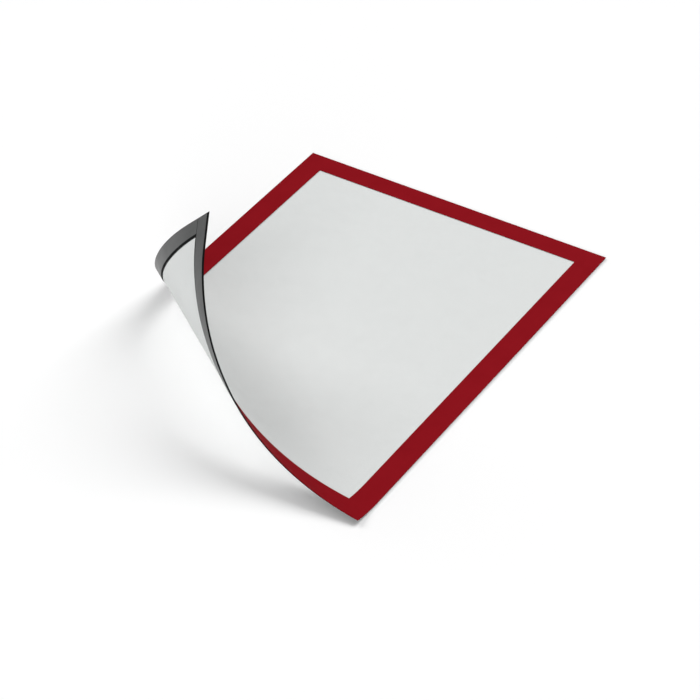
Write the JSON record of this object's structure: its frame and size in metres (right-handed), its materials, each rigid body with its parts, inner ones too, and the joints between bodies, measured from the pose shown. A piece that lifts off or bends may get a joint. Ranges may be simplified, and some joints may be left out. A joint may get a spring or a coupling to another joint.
{
  "type": "magnetic display frame",
  "caption": "Flexible magnetic display frame for one sheet: clear leaves edged with magnet strips, a red border on the hinged cover, one corner curled up and over.",
  "frame": {"origin": "middle of the back face, in the plane of the surface that the frame lies on", "axes": "+X to the right and +Y to the hinged top edge as seen from the front, +Z out of the front face"},
  "size_m": [0.2366, 0.3224, 0.1143],
  "materials": {
    "magnet": "satin grey calendered magnet rubber with dark cut edges",
    "film": "clear film with a soft sheen",
    "sheet": "plain uncoated paper",
    "border": "satin dark red foil"
  },
  "bodies": {
    "back_leaf": {"back_film": "film", "back_magnet_left": "magnet", "back_magnet_right": "magnet", "back_magnet_top": "magnet", "hinge_film": "film", "insert_sheet": "sheet"},
    "corner_band_1": {"back_film_bend_1": "film", "back_magnet_bottom_bend_1": "magnet", "back_magnet_left_bend_1": "magnet", "back_magnet_right_bend_1": "magnet", "insert_sheet_bend_1": "sheet"},
    "corner_band_2": {"back_film_bend_2": "film", "back_magnet_bottom_bend_2": "magnet", "back_magnet_left_bend_2": "magnet", "insert_sheet_bend_2": "sheet"},
    "corner_band_3": {"back_film_bend_3": "film", "back_magnet_bottom_bend_3": "magnet", "back_magnet_left_bend_3": "magnet", "insert_sheet_bend_3": "sheet"},
    "corner_band_4": {"back_film_bend_4": "film", "back_magnet_bottom_bend_4": "magnet", "back_magnet_left_bend_4": "magnet", "insert_sheet_bend_4": "sheet"},
    "corner_band_5": {"back_film_bend_5": "film", "back_magnet_bottom_bend_5": "magnet", "back_magnet_left_bend_5": "magnet"},
    "cover": {"front_border": "border", "front_film": "film", "front_magnet_left": "magnet", "front_magnet_right": "magnet", "front_magnet_top": "magnet"},
    "cover_band_1": {"front_border_bottom_bend_1": "border", "front_border_left_bend_1": "border", "front_film_bend_1": "film", "front_magnet_bottom_bend_1": "magnet", "front_magnet_left_bend_1": "magnet", "front_magnet_right_bend_1": "magnet"},
    "cover_band_2": {"front_border_bottom_bend_2": "border", "front_border_left_bend_2": "border", "front_film_bend_2": "film", "front_magnet_bottom_bend_2": "magnet", "front_magnet_left_bend_2": "magnet"},
    "cover_band_3": {"front_border_bottom_bend_3": "border", "front_border_left_bend_3": "border", "front_film_bend_3": "film", "front_magnet_bottom_bend_3": "magnet", "front_magnet_left_bend_3": "magnet"},
    "cover_band_4": {"front_border_bend_4": "border", "front_film_bend_4": "film", "front_magnet_bottom_bend_4": "magnet", "front_magnet_left_bend_4": "magnet"},
    "cover_band_5": {"front_border_bend_5": "border", "front_film_bend_5": "film", "front_magnet_bottom_bend_5": "magnet", "front_magnet_left_bend_5": "magnet"}
  },
  "joints": [
    {"name": "corner_bend_1", "type": "hinge", "parent": "back_leaf", "child": "corner_band_1", "pos_m": [0, -0.0644, 0.0009], "axis": [0.8453, -0.5344, 0], "range_deg": [0, 18.25]},
    {"name": "corner_bend_2", "type": "hinge", "parent": "corner_band_1", "child": "corner_band_2", "pos_m": [-0.0204, -0.0895, 0.01149], "axis": [0.8096, -0.5866, 0.0209], "range_deg": [0, 35.75]},
    {"name": "corner_bend_3", "type": "hinge", "parent": "corner_band_2", "child": "corner_band_3", "pos_m": [-0.04541, -0.09521, 0.03767], "axis": [0.7839, -0.6164, 0.0747], "range_deg": [0, 31.5]},
    {"name": "corner_bend_4", "type": "hinge", "parent": "corner_band_3", "child": "corner_band_4", "pos_m": [-0.0561, -0.09013, 0.06905], "axis": [0.7749, -0.6162, 0.1407], "range_deg": [0, 25.25]},
    {"name": "corner_bend_5", "type": "hinge", "parent": "corner_band_4", "child": "corner_band_5", "pos_m": [-0.05441, -0.07704, 0.09849], "axis": [0.7809, -0.5911, 0.2021], "range_deg": [0, 11.25]},
    {"name": "cover_hinge", "type": "hinge", "parent": "back_leaf", "child": "cover", "pos_m": [0, 0.1615, 0.0005], "axis": [-1, 0, 0], "range_deg": [0, 150], "deforming": ["front_border_bend_4", "front_border_bend_5", "front_border_bottom_bend_1", "front_border_bottom_bend_2", "front_border_bottom_bend_3", "front_border_left_bend_1", "front_border_left_bend_2", "front_border_left_bend_3", "front_film_bend_1", "front_film_bend_2", "front_film_bend_3", "front_film_bend_4", "front_film_bend_5", "front_magnet_bottom_bend_1", "front_magnet_bottom_bend_2", "front_magnet_bottom_bend_3", "front_magnet_bottom_bend_4", "front_magnet_bottom_bend_5", "front_magnet_left_bend_1", "front_magnet_left_bend_2", "front_magnet_left_bend_3", "front_magnet_left_bend_4", "front_magnet_left_bend_5", "front_magnet_right_bend_1", "hinge_film"]},
    {"name": "cover_bend_1", "type": "hinge", "parent": "cover", "child": "cover_band_1", "pos_m": [0, -0.0644, 0.0009], "axis": [0.8453, -0.5344, 0], "range_deg": [0, 18.25]},
    {"name": "cover_bend_2", "type": "hinge", "parent": "cover_band_1", "child": "cover_band_2", "pos_m": [-0.0204, -0.0895, 0.01149], "axis": [0.8096, -0.5866, 0.0209], "range_deg": [0, 35.75]},
    {"name": "cover_bend_3", "type": "hinge", "parent": "cover_band_2", "child": "cover_band_3", "pos_m": [-0.04541, -0.09521, 0.03767], "axis": [0.7839, -0.6164, 0.0747], "range_deg": [0, 31.5]},
    {"name": "cover_bend_4", "type": "hinge", "parent": "cover_band_3", "child": "cover_band_4", "pos_m": [-0.0561, -0.09013, 0.06905], "axis": [0.7749, -0.6162, 0.1407], "range_deg": [0, 25.25]},
    {"name": "cover_bend_5", "type": "hinge", "parent": "cover_band_4", "child": "cover_band_5", "pos_m": [-0.05441, -0.07704, 0.09849], "axis": [0.7809, -0.5911, 0.2021], "range_deg": [0, 11.25]}
  ],
  "couplings": [
    {"joint": "corner_bend_2", "follows": "corner_bend_1", "ratio": 1.9589},
    {"joint": "corner_bend_3", "follows": "corner_bend_1", "ratio": 1.726},
    {"joint": "corner_bend_4", "follows": "corner_bend_1", "ratio": 1.3836},
    {"joint": "corner_bend_5", "follows": "corner_bend_1", "ratio": 0.61644},
    {"joint": "cover_bend_1", "follows": "corner_bend_1", "ratio": 1},
    {"joint": "cover_bend_2", "follows": "corner_bend_1", "ratio": 1.9589},
    {"joint": "cover_bend_3", "follows": "corner_bend_1", "ratio": 1.726},
    {"joint": "cover_bend_4", "follows": "corner_bend_1", "ratio": 1.3836},
    {"joint": "cover_bend_5", "follows": "corner_bend_1", "ratio": 0.61644}
  ]
}
